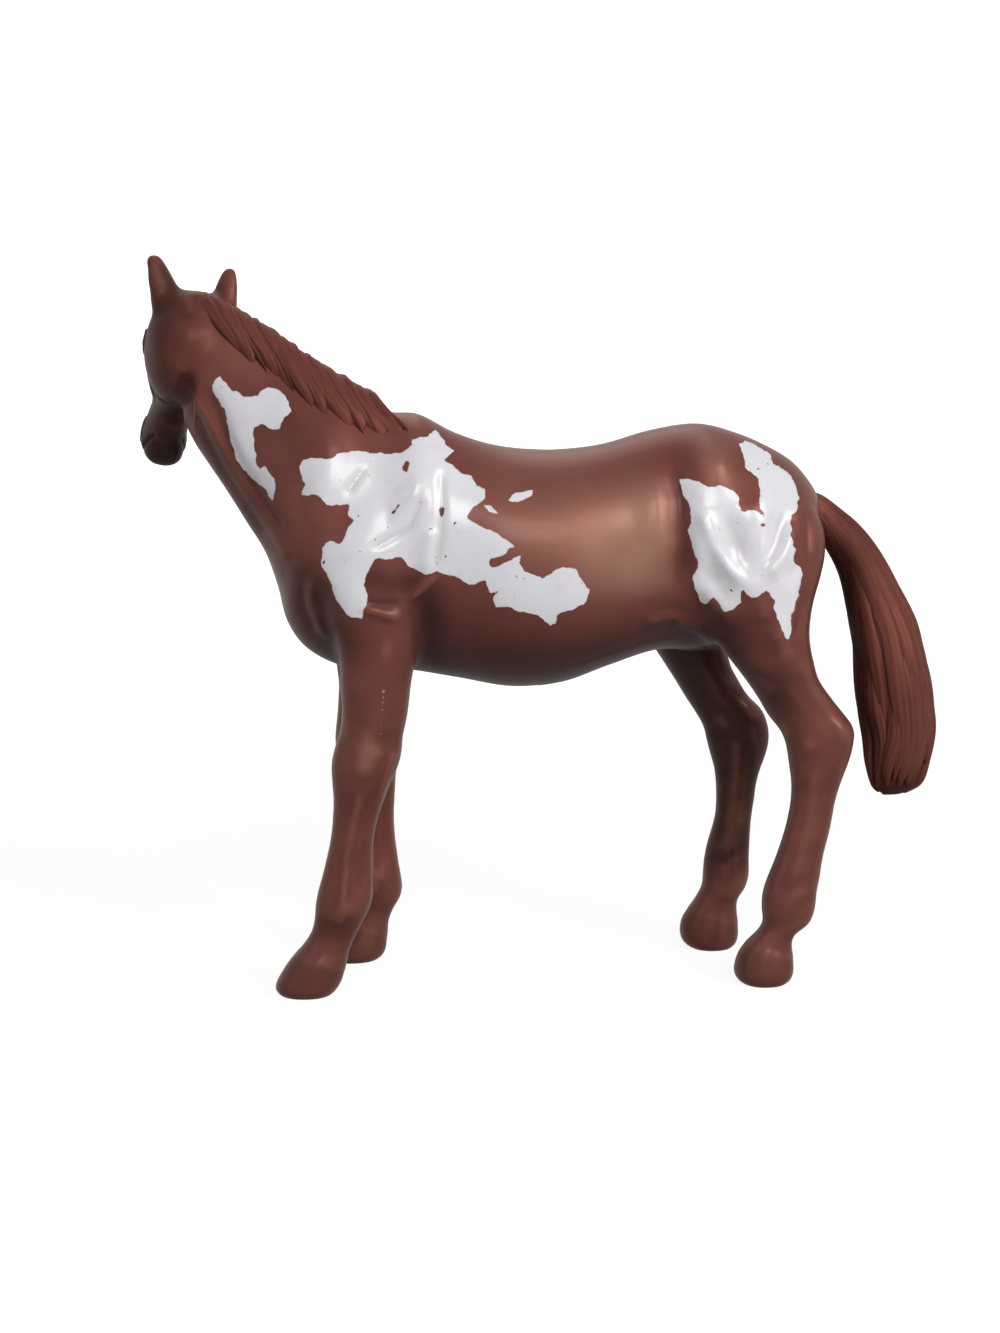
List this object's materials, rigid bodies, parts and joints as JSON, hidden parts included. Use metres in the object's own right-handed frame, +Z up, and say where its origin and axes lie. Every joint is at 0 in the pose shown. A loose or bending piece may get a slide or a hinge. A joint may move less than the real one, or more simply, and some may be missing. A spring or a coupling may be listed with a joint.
{
  "type": "toy horse figure",
  "caption": "Standing toy horse with its head turned aside, a moulded mane and a swung tail, in chestnut with white pinto patches.",
  "frame": {"origin": "on the ground, under the middle of the figure's box", "axes": "+X from the muzzle to the tail, +Y to the horse's right (off) side, +Z up from the soles"},
  "size_m": [0.1188, 0.0388, 0.1077],
  "materials": {
    "coat": "satin, chestnut with white pinto patches",
    "coat_head": "satin, chestnut with a dark muzzle",
    "coat_legs": "satin, dark chestnut",
    "hair": "satin, dark chestnut"
  },
  "bodies": {
    "root": {"trunk": "coat", "head": "coat_head", "mane": "hair", "tail": "hair", "near_foreleg": "coat_legs", "off_foreleg": "coat_legs", "near_hindleg": "coat_legs", "off_hindleg": "coat_legs"}
  },
  "joints": []
}
